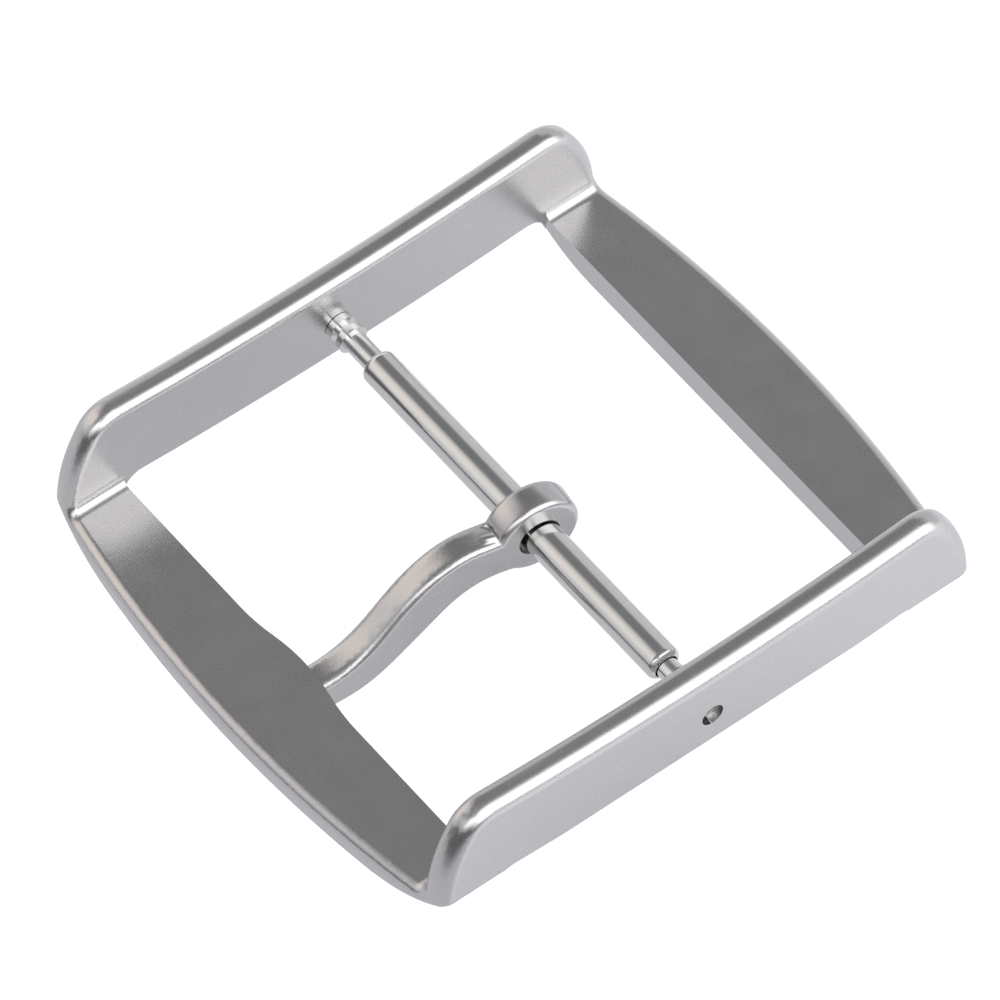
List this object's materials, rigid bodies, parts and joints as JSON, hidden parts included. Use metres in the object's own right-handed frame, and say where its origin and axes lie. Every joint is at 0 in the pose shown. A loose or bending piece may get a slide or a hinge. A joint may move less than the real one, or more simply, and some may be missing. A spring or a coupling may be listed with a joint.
{
  "type": "watch tang buckle",
  "caption": "Tang buckle that closes a watch strap: a bowed frame with raised side walls, a sprung double-collar spring bar across it and a tang that turns on the bar.",
  "frame": {"origin": "on the spring bar's axis, midway between the two side walls", "axes": "+X along the strap, away from the tang's tip; +Y along the spring bar; +Z towards the wearer's skin"},
  "size_m": [0.0279, 0.0244, 0.0077],
  "materials": {
    "frame_steel": "fine bead-blasted satin stainless steel",
    "tang_steel": "fine bead-blasted satin stainless steel",
    "tube_steel": "drawn and polished stainless steel",
    "pin_steel": "bright turned stainless steel",
    "spring_steel": "drawn spring wire"
  },
  "bodies": {
    "frame": {"buckle_frame": "frame_steel"},
    "spring_bar": {"spring_bar_tube": "tube_steel", "coil_spring": "spring_steel"},
    "far_pin": {"spring_bar_pin_far": "pin_steel"},
    "near_pin": {"spring_bar_pin_near": "pin_steel"},
    "tang": {"tang": "tang_steel"}
  },
  "joints": [
    {"name": "bar_spin", "type": "hinge", "parent": "frame", "child": "spring_bar", "pos_m": [0, 0, 0], "axis": [0, 1, 0], "continuous": true},
    {"name": "tang_swing", "type": "hinge", "parent": "frame", "child": "tang", "pos_m": [0, 0, 0], "axis": [0, -1, 0], "range_deg": [0, 134]},
    {"name": "far_pin_retract", "type": "slide", "parent": "spring_bar", "child": "far_pin", "axis": [0, -1, 0], "range_m": [0, 0.0012], "stiffness_N_per_m": 800, "springref_m": -0.002, "deforming": ["coil_spring"]},
    {"name": "near_pin_retract", "type": "slide", "parent": "spring_bar", "child": "near_pin", "axis": [0, 1, 0], "range_m": [0, 0.0005], "stiffness_N_per_m": 800, "springref_m": -0.002, "deforming": ["coil_spring"]}
  ]
}
